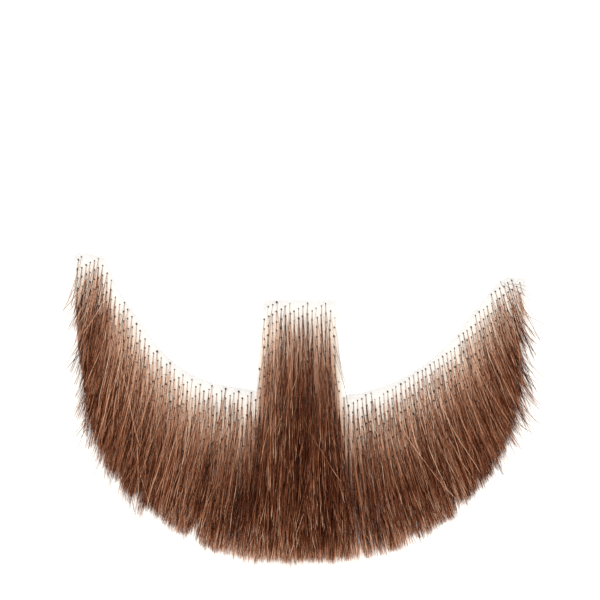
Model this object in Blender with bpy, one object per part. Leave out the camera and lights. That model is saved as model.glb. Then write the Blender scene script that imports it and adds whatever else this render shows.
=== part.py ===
"""A hand-knotted false beard, lying flat with the wearer's side down.

Net lace cut to the jaw's outline carries all the hair. The hair is combed from
the lace down and outwards, and its tips are trimmed to one round outline. It is
built as three solids of fused locks: the goatee, which falls from the tab under
the lip to the point of the chin, and the hair of each cheek.

Metres. X runs along the jaw, to the right as seen from the hair side, Y from
the chin to the lip, and Z from the wearer's skin outwards. The origin is on the
back of the lace, in the middle of the chin.
"""

import math
import random
from collections import namedtuple

import bmesh
import bpy
from mathutils import Vector

# Overall sizes of the trimmed hair
BEARD_WIDTH = 0.145
BEARD_HEIGHT = 0.099
HALF_WIDTH = BEARD_WIDTH / 2

# Lace
LACE_THICKNESS = 0.0010
TAB_TOP_WIDTH = 0.0222
TAB_ROOT_WIDTH = 0.0266
TAB_LENGTH = 0.0295
TAB_CENTRE_X = -0.0008

# Clearances between pieces that only rest on each other or lie side by side
SEAT_GAP = 0.0003
SIDE_GAP = 0.0003

# Hair
GOATEE_WIDTH = 0.0250
ROOT_MAT_THICKNESS = 0.0008
ROOT_MAT_INSET = 0.0015
HAIR_INSET = 0.0004
LOCK_WIDTH = 0.0070
LOCK_THICKNESS = 0.0028
TIP_THICKNESS = 0.0011
HAIR_LENGTH = 0.036
PILE_HEIGHT = 0.0085
TIP_CLEARANCE = 0.0002

# The pitch of a row's locks as a share of their width, the share of the
# goatee's width that its knots take up, and the share of the hair's full length
# that it has where the beard has no loft
LOCK_SPACING = 0.74
GOATEE_KNOTS = 0.90
SHORTEST_HAIR = 0.62

# How unevenly the locks are cut and combed
LENGTH_SPREAD = 0.06
LOOSE_COMBING_DEGREES = 2.5
COMBING_SEED = 7

# How finely curves are drawn: points between two stations, steps along a lock's
# path and steps along a row of locks
CURVE_STEPS = 4
PATH_STEPS = 30
PLACE_STEPS = 60

# Stations along the jaw, from the left end to the right end. x columns are
# shares of HALF_WIDTH and y columns shares of BEARD_HEIGHT. edge is the lace's
# upper edge, hem its lower one under the hair, and tip the trimmed outline.
# loft is the share of PILE_HEIGHT to which the hair piles up there.
Station = namedtuple("Station", "edge_x edge_y hem_x hem_y tip_x tip_y loft")
JAW = [
    Station(-0.875, 0.588, -0.995, 0.597, -1.000, 0.570, 0.45),
    Station(-0.840, 0.527, -0.990, 0.500, -1.010, 0.440, 0.50),
    Station(-0.797, 0.463, -0.980, 0.385, -1.005, 0.305, 0.58),
    Station(-0.728, 0.392, -0.965, 0.250, -0.985, 0.145, 0.66),
    Station(-0.645, 0.305, -0.912, 0.112, -0.930, 0.005, 0.74),
    Station(-0.535, 0.228, -0.798, -0.025, -0.810, -0.160, 0.82),
    Station(-0.395, 0.180, -0.600, -0.140, -0.597, -0.285, 0.90),
    Station(-0.200, 0.157, -0.315, -0.202, -0.307, -0.372, 0.96),
    Station(0.000, 0.150, 0.000, -0.218, 0.013, -0.402, 1.00),
    Station(0.197, 0.141, 0.320, -0.200, 0.342, -0.362, 0.96),
    Station(0.364, 0.170, 0.570, -0.135, 0.627, -0.270, 0.90),
    Station(0.518, 0.228, 0.737, -0.052, 0.820, -0.142, 0.82),
    Station(0.650, 0.309, 0.842, 0.048, 0.930, -0.006, 0.74),
    Station(0.737, 0.389, 0.904, 0.177, 0.982, 0.113, 0.66),
    Station(0.803, 0.450, 0.943, 0.305, 1.000, 0.219, 0.58),
    Station(0.855, 0.495, 0.965, 0.418, 1.000, 0.338, 0.50),
    Station(0.899, 0.518, 0.974, 0.514, 0.987, 0.450, 0.45),
]

# How far the combed hair leans from straight down, by place across the beard
Lean = namedtuple("Lean", "x degrees")
COMBING = [
    Lean(-1.00, -17.0),
    Lean(-0.72, -18.0),
    Lean(-0.45, -10.0),
    Lean(-0.18, -1.5),
    Lean(0.00, 0.0),
    Lean(0.18, 2.5),
    Lean(0.45, 14.0),
    Lean(0.72, 22.0),
    Lean(1.00, 31.0),
]
# Share of the full lean that the hair has where it leaves its knot, and the
# share of a lock's thickness by which it stands off the lace there
ROOT_LEAN = 0.45
ROOT_RISE = 0.15

# Rows of locks, from the lowest to the one that lies on top. depth is the share
# of the lace's depth where a row is knotted, length a share of HAIR_LENGTH, and
# lift and tip_lift shares of the pile's height, halfway and at the tip.
LockRow = namedtuple("LockRow", "depth length lift tip_lift width")
CHEEK_ROWS = [
    LockRow(0.86, 1.00, 0.26, 0.08, 1.00),
    LockRow(0.58, 0.95, 0.46, 0.20, 1.05),
    LockRow(0.30, 0.84, 0.60, 0.36, 1.00),
    LockRow(0.07, 0.62, 0.40, 0.40, 0.85),
]
# The goatee's rows, whose depth is the share of the way from the tab's top to
# the lace's lower edge
GOATEE_ROWS = [
    LockRow(0.95, 1.00, 0.26, 0.08, 1.00),
    LockRow(0.80, 1.00, 0.46, 0.22, 1.05),
    LockRow(0.62, 1.00, 0.66, 0.44, 1.05),
    LockRow(0.42, 0.96, 0.80, 0.66, 1.00),
    LockRow(0.22, 0.90, 0.62, 0.76, 0.90),
    LockRow(0.03, 0.72, 0.34, 0.52, 0.80),
]

# The rounded back of a lock, as shares of its width and thickness. Below its
# shoulders a lock reaches down through the hair under it.
LOCK_BACK = [(-0.50, -0.34), (-0.31, 0.27), (0.00, 0.50), (0.31, 0.27), (0.50, -0.34)]
LOCK_FOOT = -0.001

# A lock from its knots to its trimmed tip. along is the share of its length.
LockRing = namedtuple("LockRing", "along width")
LOCK_RINGS = [
    LockRing(0.00, 0.72),
    LockRing(0.22, 0.96),
    LockRing(0.48, 1.00),
    LockRing(0.73, 0.90),
    LockRing(0.91, 0.68),
    LockRing(1.00, 0.30),
]

# Colours and finishes, as red, green, blue and roughness
LACE_COLOUR = (0.86, 0.80, 0.72)
LACE_ROUGHNESS = 0.85
HAIR_COLOUR = (0.155, 0.060, 0.030)
HAIR_ROUGHNESS = 0.45


def clear_scene():
    for obj in list(bpy.data.objects):
        bpy.data.objects.remove(obj, do_unlink=True)


def material(name, colour, roughness):
    made = bpy.data.materials.new(name)
    made.use_nodes = True
    shader = made.node_tree.nodes["Principled BSDF"]
    shader.inputs["Base Color"].default_value = (*colour, 1.0)
    shader.inputs["Roughness"].default_value = roughness
    shader.inputs["Metallic"].default_value = 0.0
    return made


def smooth_value(values, place):
    """A Catmull-Rom curve through evenly spaced values, at place from 0 to 1."""
    last = len(values) - 1
    scaled = min(max(place, 0.0), 1.0) * last
    low = min(int(scaled), last - 1)
    t = scaled - low
    before, start = values[max(low - 1, 0)], values[low]
    end, after = values[low + 1], values[min(low + 2, last)]
    return 0.5 * (
        2 * start
        + (end - before) * t
        + (2 * before - 5 * start + 4 * end - after) * t * t
        + (3 * start - before - 3 * end + after) * t * t * t
    )


def jaw_point(kind, place):
    """The edge, hem or tip point at a place from 0, the left end, to 1, the right end."""
    x = smooth_value([getattr(row, kind + "_x") for row in JAW], place)
    y = smooth_value([getattr(row, kind + "_y") for row in JAW], place)
    return Vector((x * HALF_WIDTH, y * BEARD_HEIGHT))


def loft_at(place):
    return smooth_value([row.loft for row in JAW], place)


def lean_at(x):
    """The combed direction's lean from straight down, in radians, at x metres."""
    share = x / HALF_WIDTH
    for low, high in zip(COMBING, COMBING[1:]):
        if share <= high.x or high is COMBING[-1]:
            t = min(max((share - low.x) / (high.x - low.x), 0.0), 1.0)
            return math.radians(low.degrees + (high.degrees - low.degrees) * t)
    return 0.0


def curve_between(kind, start, end):
    """Points along one of the jaw's curves, between two places."""
    count = max(2, round(abs(end - start) * (len(JAW) - 1) * CURVE_STEPS))
    return [jaw_point(kind, start + (end - start) * i / count) for i in range(count + 1)]


def place_at_x(kind, x):
    """The place along the jaw where one of its curves passes x metres."""
    low, high = 0.0, 1.0
    for _ in range(40):
        middle = (low + high) / 2
        if jaw_point(kind, middle).x < x:
            low = middle
        else:
            high = middle
    return (low + high) / 2


def tab_corners():
    """The tab's top corners and the two points where its sides meet the lace's upper edge."""
    root_left = TAB_CENTRE_X - TAB_ROOT_WIDTH / 2
    root_right = TAB_CENTRE_X + TAB_ROOT_WIDTH / 2
    left_place = place_at_x("edge", root_left)
    right_place = place_at_x("edge", root_right)
    left_root = jaw_point("edge", left_place)
    right_root = jaw_point("edge", right_place)
    top = (left_root.y + right_root.y) / 2 + TAB_LENGTH
    left_top = Vector((TAB_CENTRE_X - TAB_TOP_WIDTH / 2, top))
    right_top = Vector((TAB_CENTRE_X + TAB_TOP_WIDTH / 2, top))
    return left_root, left_top, right_top, right_root, left_place, right_place


def lace_outline():
    """The lace's cut edge, once round: along the upper edge and over the tab, then back along the hem."""
    left_root, left_top, right_top, right_root, left_place, right_place = tab_corners()
    upper = curve_between("edge", 0.0, left_place)
    upper += [left_top, right_top]
    upper += curve_between("edge", right_place, 1.0)
    return upper + curve_between("hem", 1.0, 0.0)


def grown(outline, by):
    """A closed outline moved outwards by a distance, or inwards if it is negative."""
    area = sum(a.cross(b) for a, b in zip(outline, outline[1:] + outline[:1]))
    outward = -by if area > 0 else by
    moved = []
    for i, point in enumerate(outline):
        before = (point - outline[i - 1]).normalized()
        after = (outline[(i + 1) % len(outline)] - point).normalized()
        bisector = (before + after).normalized()
        normal = Vector((-bisector.y, bisector.x))
        reach = outward / max(bisector.dot(before), 0.5)
        moved.append(point + normal * reach)
    return moved


def prism(name, outline, bottom, top):
    """A flat outline extruded from one height to another, as a new object."""
    bm = bmesh.new()
    face = bm.faces.new([bm.verts.new((p.x, p.y, bottom)) for p in outline])
    extruded = bmesh.ops.extrude_face_region(bm, geom=[face])
    raised = [v for v in extruded["geom"] if isinstance(v, bmesh.types.BMVert)]
    bmesh.ops.translate(bm, verts=raised, vec=(0.0, 0.0, top - bottom))
    bmesh.ops.recalc_face_normals(bm, faces=bm.faces)
    bmesh.ops.triangulate(bm, faces=[f for f in bm.faces if len(f.verts) > 4])
    return new_object(name, bm)


def new_object(name, bm):
    mesh = bpy.data.meshes.new(name)
    bm.to_mesh(mesh)
    bm.free()
    obj = bpy.data.objects.new(name, mesh)
    bpy.context.scene.collection.objects.link(obj)
    return obj


def helper(obj):
    """A cutter or a piece that a Boolean takes in, which isn't a piece of the beard itself."""
    obj.hide_render = True
    obj.display_type = "WIRE"
    return obj


def inside(point, outline):
    """Whether a point is inside a closed outline."""
    within = False
    for a, b in zip(outline, outline[1:] + outline[:1]):
        if (a.y > point.y) != (b.y > point.y):
            crossing = a.x + (point.y - a.y) * (b.x - a.x) / (b.y - a.y)
            if point.x < crossing:
                within = not within
    return within


def trim_outline():
    """The hair's trimmed outline, closed well above the beard."""
    tips = curve_between("tip", 0.0, 1.0)
    above = BEARD_HEIGHT
    return tips + [Vector((tips[-1].x, above)), Vector((tips[0].x, above))]


def combed_path(root, length, outline, stray):
    """The way that hair takes from its root: it leans out more and more, and stops at the trimmed outline."""
    point = root.copy()
    path = [point.copy()]
    for i in range(PATH_STEPS):
        share = i / PATH_STEPS
        lean = lean_at(point.x) * (ROOT_LEAN + (1 - ROOT_LEAN) * share) + stray * share
        point = point + Vector((math.sin(lean), -math.cos(lean))) * (length / PATH_STEPS)
        if not inside(point, outline):
            break
        path.append(point.copy())
    return path


def along_path(path, share):
    """The point at a share of a path's length."""
    scaled = share * (len(path) - 1)
    low = min(int(scaled), len(path) - 2)
    return path[low].lerp(path[low + 1], scaled - low)


def lock_height(share, row, pile, on_lace):
    """The height of a lock's middle at a share of its length: off its knots, over an arch and down to its tip."""
    start = on_lace + LOCK_THICKNESS * ROOT_RISE
    middle = on_lace + row.lift * pile
    end = TIP_CLEARANCE + TIP_THICKNESS / 2 + row.tip_lift * pile
    if share < 0.5:
        t = share * 2
        return start + (middle - start) * math.sin(t * math.pi / 2)
    t = (share - 0.5) * 2
    return middle + (end - middle) * t * t


def add_lock(bm, path, row, pile, on_lace):
    """A closed, tapered lock of hair, lofted along its path."""
    rings = []
    for shape in LOCK_RINGS:
        share = shape.along
        point = along_path(path, share)
        ahead = along_path(path, min(share + 0.1, 1.0)) - along_path(path, max(share - 0.1, 0.0))
        side = Vector((-ahead.y, ahead.x)).normalized()
        width = LOCK_WIDTH * row.width * shape.width
        thickness = LOCK_THICKNESS + (TIP_THICKNESS - LOCK_THICKNESS) * share**1.5
        middle = lock_height(share, row, pile, on_lace)
        ring = []
        for across, up in LOCK_BACK:
            corner = point + side * across * width
            ring.append(bm.verts.new((corner.x, corner.y, middle + up * thickness)))
        for shoulder in (ring[-1], ring[0]):
            ring.append(bm.verts.new((shoulder.co.x, shoulder.co.y, LOCK_FOOT)))
        rings.append(ring)
    for low, high in zip(rings, rings[1:]):
        for i in range(len(low)):
            j = (i + 1) % len(low)
            bm.faces.new((low[i], low[j], high[j], high[i]))
    bm.faces.new(rings[0][::-1])
    bm.faces.new(rings[-1])


def lock_objects(name, locks):
    """One helper object for each lock, in a collection that a Boolean takes in whole."""
    group = bpy.data.collections.new(name + "_locks")
    bpy.context.scene.collection.children.link(group)
    for i, (path, row, pile, on_lace) in enumerate(locks):
        bm = bmesh.new()
        add_lock(bm, path, row, pile, on_lace)
        bmesh.ops.recalc_face_normals(bm, faces=bm.faces)
        lock = helper(new_object(f"{name}_lock_{i:03d}", bm))
        bpy.context.scene.collection.objects.unlink(lock)
        group.objects.link(lock)
    return group


def boolean(obj, operation, operand):
    """Adds a Boolean with an object or a collection."""
    step = obj.modifiers.new(operation.lower(), "BOOLEAN")
    step.operation = operation
    step.solver = "EXACT"
    if isinstance(operand, bpy.types.Collection):
        step.operand_type = "COLLECTION"
        step.collection = operand
    else:
        step.object = operand


def band_point(place, depth):
    """A point on the lace, at a share of the way from its upper edge to its hem."""
    return jaw_point("edge", place).lerp(jaw_point("hem", place), depth)


def row_places(start, end, row):
    """Places along the jaw for one row of locks, evenly spaced by their distance along the lace."""
    places = [start + (end - start) * i / PLACE_STEPS for i in range(PLACE_STEPS + 1)]
    line = [band_point(place, row.depth) for place in places]
    run = [0.0]
    for a, b in zip(line, line[1:]):
        run.append(run[-1] + (b - a).length)
    count = max(2, round(run[-1] / (LOCK_WIDTH * row.width * LOCK_SPACING)))
    found = []
    for i in range(count):
        wanted = run[-1] * (i + 0.5) / count
        after = next(k for k, distance in enumerate(run) if distance >= wanted)
        share = (wanted - run[after - 1]) / (run[after] - run[after - 1])
        found.append(places[after - 1] + (places[after] - places[after - 1]) * share)
    return found


def cut_length(row, loft):
    """A lock's length, cut a little unevenly and shorter where the beard has less loft."""
    uneven = random.uniform(1 - LENGTH_SPREAD, 1 + LENGTH_SPREAD)
    return HAIR_LENGTH * row.length * (SHORTEST_HAIR + (1 - SHORTEST_HAIR) * loft) * uneven


def loose_combing():
    return math.radians(random.uniform(-LOOSE_COMBING_DEGREES, LOOSE_COMBING_DEGREES))


def cheek_locks(ends, outline, on_lace):
    """All the locks of one cheek, which lies between two places along the edge and two along the hem."""
    edge_start, edge_end, hem_start, hem_end = ends
    locks = []
    for row in CHEEK_ROWS:
        start = edge_start + (hem_start - edge_start) * row.depth
        end = edge_end + (hem_end - edge_end) * row.depth
        for place in row_places(start, end, row):
            loft = loft_at(place)
            root = band_point(place, row.depth)
            path = combed_path(root, cut_length(row, loft), outline, loose_combing())
            locks.append((path, row, PILE_HEIGHT * loft, on_lace))
    return locks


def goatee_locks(outline, on_lace):
    """The locks that fall from the tab under the lip to the point of the chin."""
    left_root, left_top, right_top, right_root, left_place, right_place = tab_corners()
    top = left_top.y
    middle_place = place_at_x("hem", TAB_CENTRE_X)
    bottom = jaw_point("hem", middle_place).y
    locks = []
    for row in GOATEE_ROWS:
        y = top + (bottom - top) * row.depth
        tab_share = min(max((top - y) / TAB_LENGTH, 0.0), 1.0)
        span = TAB_TOP_WIDTH + (GOATEE_WIDTH - TAB_TOP_WIDTH) * tab_share
        count = max(2, round(span / (LOCK_WIDTH * row.width * LOCK_SPACING)))
        for i in range(count):
            share = (i + 0.5) / count - 0.5
            root = Vector((TAB_CENTRE_X + share * span * GOATEE_KNOTS, y))
            path = combed_path(root, cut_length(row, 1.0), outline, loose_combing())
            locks.append((path, row, PILE_HEIGHT, on_lace))
    return locks


def hair_section(name, mat_outline, locks, bounds, seat, finish):
    """One solid of hair: a thin mat of roots and its locks, seated on the lace and cut flat at its bounds."""
    section = prism(name, mat_outline, LACE_THICKNESS, LACE_THICKNESS + SEAT_GAP + ROOT_MAT_THICKNESS)
    boolean(section, "UNION", lock_objects(name, locks))
    boolean(section, "DIFFERENCE", seat)
    boolean(section, "INTERSECT", helper(prism(name + "_bounds", bounds, 0.0, PILE_HEIGHT * 3)))
    section.data.materials.append(finish)
    return section


def build():
    clear_scene()
    random.seed(COMBING_SEED)
    lace_finish = material("lace_net", LACE_COLOUR, LACE_ROUGHNESS)
    hair_finish = material("chestnut_hair", HAIR_COLOUR, HAIR_ROUGHNESS)

    outline = lace_outline()
    lace = prism("lace_base", outline, 0.0, LACE_THICKNESS)
    lace.data.materials.append(lace_finish)

    on_lace = LACE_THICKNESS + SEAT_GAP
    seat = helper(prism("lace_seat", grown(outline, SEAT_GAP), -PILE_HEIGHT, on_lace))
    trimmed = trim_outline()
    left_root, left_top, right_top, right_root, left_place, right_place = tab_corners()
    goatee_left = TAB_CENTRE_X - GOATEE_WIDTH / 2
    goatee_right = TAB_CENTRE_X + GOATEE_WIDTH / 2
    hem_left, hem_right = place_at_x("hem", goatee_left), place_at_x("hem", goatee_right)
    below, beyond = -BEARD_HEIGHT, BEARD_WIDTH

    # The goatee
    mat = [left_root, left_top, right_top, right_root]
    mat += curve_between("hem", hem_right, hem_left)
    left_side, right_side = goatee_left + SIDE_GAP / 2, goatee_right - SIDE_GAP / 2
    tab = grown([left_root, left_top, right_top, right_root], -HAIR_INSET)
    bounds = [Vector((left_side, below)), Vector((left_side, left_root.y)), tab[1], tab[2]]
    bounds += [Vector((right_side, right_root.y)), Vector((right_side, below))]
    locks = goatee_locks(trimmed, on_lace)
    hair_section("goatee_hair", grown(mat, -ROOT_MAT_INSET), locks, bounds, seat, hair_finish)

    # The left cheek
    edge = curve_between("edge", 0.0, left_place)
    mat = edge + curve_between("hem", hem_left, 0.0)
    side = goatee_left - SIDE_GAP / 2
    bounds = [point - Vector((0.0, HAIR_INSET)) for point in edge]
    bounds += [Vector((side, bounds[-1].y)), Vector((side, below)), Vector((-beyond, below))]
    bounds.append(Vector((-beyond, bounds[0].y)))
    locks = cheek_locks((0.0, left_place, 0.0, hem_left), trimmed, on_lace)
    hair_section("left_cheek_hair", grown(mat, -ROOT_MAT_INSET), locks, bounds, seat, hair_finish)

    # The right cheek
    edge = curve_between("edge", right_place, 1.0)
    mat = edge + curve_between("hem", 1.0, hem_right)
    side = goatee_right + SIDE_GAP / 2
    bounds = [point - Vector((0.0, HAIR_INSET)) for point in edge]
    bounds += [Vector((beyond, bounds[-1].y)), Vector((beyond, below)), Vector((side, below))]
    bounds.append(Vector((side, bounds[0].y)))
    locks = cheek_locks((right_place, 1.0, hem_right, 1.0), trimmed, on_lace)
    hair_section("right_cheek_hair", grown(mat, -ROOT_MAT_INSET), locks, bounds, seat, hair_finish)


build()
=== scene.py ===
"""The looks of a hand-knotted false beard that lies flat with its hair side up.

A sheer net lace carries rows of small dark knots. From each knot a few single
hairs run down and outwards, pile up on those below them, and end at one trimmed
outline. Metres, in the frame of the solids: X along the jaw, Y from the chin to
the lip, Z from the wearer's skin outwards.
"""

import math
from collections import namedtuple

import bmesh
import bpy
import numpy as np
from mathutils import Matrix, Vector


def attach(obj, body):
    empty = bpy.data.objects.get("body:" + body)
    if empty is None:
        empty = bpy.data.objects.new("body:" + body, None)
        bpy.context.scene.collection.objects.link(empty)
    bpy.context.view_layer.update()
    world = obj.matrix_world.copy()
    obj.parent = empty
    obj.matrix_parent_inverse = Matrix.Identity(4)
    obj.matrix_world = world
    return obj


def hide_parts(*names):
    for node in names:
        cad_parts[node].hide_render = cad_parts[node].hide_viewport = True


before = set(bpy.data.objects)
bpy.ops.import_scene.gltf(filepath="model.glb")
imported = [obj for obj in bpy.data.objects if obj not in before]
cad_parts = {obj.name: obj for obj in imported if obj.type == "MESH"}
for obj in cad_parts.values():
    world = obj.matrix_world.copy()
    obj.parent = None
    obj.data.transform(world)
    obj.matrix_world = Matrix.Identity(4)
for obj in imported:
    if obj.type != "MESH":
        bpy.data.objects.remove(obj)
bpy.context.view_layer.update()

# The trimmed hair's overall sizes
BEARD_WIDTH = 0.145
BEARD_HEIGHT = 0.099
HALF_WIDTH = BEARD_WIDTH / 2

# The trimmed outline of the hair from the left end to the right end, in shares
# of HALF_WIDTH and BEARD_HEIGHT
TrimPoint = namedtuple("TrimPoint", "x y")
TRIM = [
    TrimPoint(-0.995, 0.570),
    TrimPoint(-0.985, 0.440),
    TrimPoint(-0.965, 0.305),
    TrimPoint(-0.950, 0.145),
    TrimPoint(-0.908, 0.005),
    TrimPoint(-0.797, -0.152),
    TrimPoint(-0.597, -0.276),
    TrimPoint(-0.325, -0.376),
    TrimPoint(0.013, -0.401),
    TrimPoint(0.360, -0.373),
    TrimPoint(0.627, -0.272),
    TrimPoint(0.812, -0.138),
    TrimPoint(0.914, -0.002),
    TrimPoint(0.964, 0.113),
    TrimPoint(0.982, 0.219),
    TrimPoint(0.982, 0.338),
    TrimPoint(0.980, 0.450),
]
TRIM_STEPS = 6

# How far the combed hair leans from straight down, by place across the beard,
# where it leaves its knot and where it has run its course
Lean = namedtuple("Lean", "x root tip")
COMBING = [
    Lean(-1.00, -8.0, -11.0),
    Lean(-0.72, -6.0, -14.0),
    Lean(-0.50, -4.5, -14.0),
    Lean(-0.33, -3.0, -9.0),
    Lean(-0.18, -1.5, -3.0),
    Lean(0.00, 0.0, 0.0),
    Lean(0.15, 1.5, 3.5),
    Lean(0.30, 5.0, 11.0),
    Lean(0.45, 7.0, 16.0),
    Lean(0.60, 9.0, 20.0),
    Lean(0.75, 12.0, 22.0),
    Lean(0.90, 15.0, 25.0),
    Lean(1.00, 17.0, 27.0),
]
COMBED_AFTER = 0.022

# The lattice of knots, by columns that run down the beard: how far each column is
# from the next, and how much higher it starts, by place across the beard
Column = namedtuple("Column", "x step rise")
COLUMNS = [
    Column(-1.00, 0.001320, 0.000679),
    Column(-0.50, 0.001355, 0.000755),
    Column(-0.15, 0.001356, 0.000791),
    Column(0.15, 0.001458, 0.000780),
    Column(0.45, 0.001328, 0.000863),
    Column(1.00, 0.001270, 0.000920),
]

# The lace's edge cuts the lattice, and nearly every place inside it is knotted
FIRST_KNOT = (-0.01066, 0.04228)
KNOT_PITCH = 0.003029
KNOT_ROWS = 40
SPARE_COLUMNS = 12
KNOT_MARGIN = 0.0007
KNOT_SCATTER = 0.00010
KNOT_SHARE = 0.985

# Each knot: its width, how much widths vary, and in shares of its width its shape
# and how far its middle is over the lace
KNOT_SIZE = 0.00054
KNOT_SIZES_VARY = 0.14
KNOT_SHAPE = (1.0, 1.15, 0.75)
KNOT_RISE = 0.75

# The lace's sheet. Its slight waves turn by so many radians for each metre
LACE_HEIGHT = 0.00040
LACE_MARGIN = 0.0006
LACE_THICKNESS = 0.00010
LACE_CELL = 0.0025
LACE_RIPPLE = 0.00012
Ripple = namedtuple("Ripple", "rate start")
RIPPLE_X = Ripple(210.0, 1.3)
RIPPLE_Y = Ripple(260.0, 0.4)

# The lace's weave: the spacing of its meshes, the level of the waves' sum that a
# thread lies under, how sharp threads are, and how much they, the holes and the
# depth of the lace cover. The cover that the depth adds is a painted shade that
# fills in the net under the hair, and the last number is the depth over which it grows
MESH_PITCH = 0.00050
THREAD_LEVEL = -0.78
THREAD_SHARPNESS = 6.0
THREAD_COVER = 0.70
HOLE_COVER = 0.05
SHADE_COVER = 0.50
SHADE_TINT_DEPTH = 0.024

# The short ends of thread along the cut edge. Each starts a little inside it
CUT_THREAD_SPACING = 0.00100
CUT_THREAD_LENGTH = 0.00055
CUT_THREAD_LENGTHS_VARY = (0.3, 1.3)
CUT_THREAD_INSIDE = 0.5
CUT_THREAD_DRIFT = 0.45
CUT_THREAD_LIFT = 0.0002
CUT_THREAD_POINTS = 5
CUT_THREAD_TONE = 0.5
THREAD_RADIUS = 0.000022

# The kinds of hair: how many grow from a knot near the lace's upper edge and deep
# in the pile, their radius, length and number of points, their tone and the painted
# light it gains where they lie thin over the net, how far they part and spread below
# their knot, and how much of the pile's height they rise
Kind = namedtuple("Kind", "at_edge deep radius length points tone veil part spread lift")
KINDS = {
    "dark": Kind(1.0, 2.2, 0.000058, 0.040, 16, 0.09, 0.03, 0.0, 0.35, 1.0),
    "light": Kind(1.5, 5.1, 0.000052, 0.040, 16, 0.37, 0.50, 0.8, 0.50, 1.0),
    "short": Kind(2.2, 2.8, 0.000040, 0.012, 8, 0.50, 0.50, 0.7, 0.80, 0.4),
}

# The growth thickens this far below the lace's upper edge, and later on the goatee
THICKENS_FROM = 0.020
THICKENS_OVER = 0.018
GOATEE_LATER = 0.004

# It thickens along the lace's other edges too, in a band that starts a little below
# the upper edge, and wherever the combing fans the hair out by the end of this run
HEM_BAND = 0.008
HEM_FROM = 0.009
HEM_MORE = 0.7
FAN_RUN = 0.026

# It thins out towards the sides of the lace's ends and of the tab, from these
# distances off the middle. The tab's rim is thinner again
END_SIDE_FROM = 0.0640
END_SIDE_OVER = 0.0070
END_SHARE = 0.64
TAB_SIDE_FROM = 0.0030
TAB_SIDE_OVER = 0.0070
TAB_RIM_FROM = 0.0100
TAB_RIM_OVER = 0.0018
TAB_RIM_SHARE = 0.40
TAB_BOTTOM = 0.0110
SIDE_THINNER = 0.86

# The way of each hair in steps, how its length varies, and the tube round it,
# thinner at its knot and at its tip
PATH_STEP = 0.001
PATH_STEPS = 46
SHORTEST_HAIR = 0.004
LENGTHS_VARY = (0.82, 1.04)
HAIR_SIDES = 3
RING_TURN = 0.25
RADII_VARY = 0.16
ROOT_SHARE = 0.50
THICK_AFTER = 0.006
TIP_SHARE = 0.70
TIP_TAPER = 0.12

# How far the hairs of one knot are apart, and after what run
BUNDLE_WIDTH = 0.00008
PARTS_AFTER = 0.001
SPREAD_WIDTH = 0.00058
SPREAD_AFTER = 0.008

# A clump of neighbouring knots shares a turn, a cut, and a guide that draws its
# hairs together
CLUMP_SPACING = 0.0030
CLUMP_SCATTER = 0.25
CLUMP_DEGREES = 1.6
CLUMP_PULL = 0.22
CLUMP_AFTER = 0.026

# Each hair turns a little from the combing, curls on by so many degrees for each
# metre, and waves sideways and up and down
LOOSE_DEGREES = 4.0
TURNS_AFTER = 0.012
CURL_DEGREES = 60.0
WAVE = 0.00014
WAVE_LENGTH = 0.016
WAVES_AFTER = 0.008
WEAVE = 0.00060
WEAVE_LENGTH = 0.0095

# Some hairs stray further. At the ends of the beard more of them do, they stand
# outwards, reach past the outline and are thicker
STRAY_SHARE = 0.055
STRAYS_AT_ENDS = 0.46
STRAY_DEGREES = 11.0
STRAY_CURL = 3.0
STRAY_LIFT = 0.0010
STRAY_OUT = 17.0
STRAY_REACH = 0.0120
STRAY_THICKER = 0.5

# How far the trimmed tips stay short of the outline, hair by hair and clump by
# clump, with the clumps' cuts scaled at the chin and at the ends, and how far some
# clumps reach past it
TIP_CUT_START = 0.0012
TIP_CUT_AT_CHIN = 0.0015
TIP_CUT_AT_ENDS = 0.0014
TUFT_CUT = 0.0013
TUFT_CUT_AT_CHIN = 0.8
TUFT_CUT_AT_ENDS = 1.5
OVERSHOOT_SHARE = 0.30
OVERSHOOT = 0.0018
OVERSHOOTS_VARY = (0.5, 1.1)

# Where between the middle and the ends a change starts and where it is complete,
# in shares of HALF_WIDTH
Zone = namedtuple("Zone", "start full")
STRAY_ZONE = Zone(0.76, 0.96)
TIP_CUT_ZONE = Zone(0.50, 1.00)
TUFT_ZONE = Zone(0.30, 0.80)
OVERSHOOT_ZONE = Zone(0.46667, 0.80)
TIP_TONE_ZONE = Zone(0.22727, 0.68182)

# Small gaps in the trimmed tips: where across the beard, how wide and how deep
Notch = namedtuple("Notch", "x width depth")
NOTCHES = [
    Notch(-0.0350, 0.0011, 0.0050),
    Notch(0.0356, 0.0009, 0.0028),
    Notch(0.0509, 0.0010, 0.0030),
]

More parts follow.
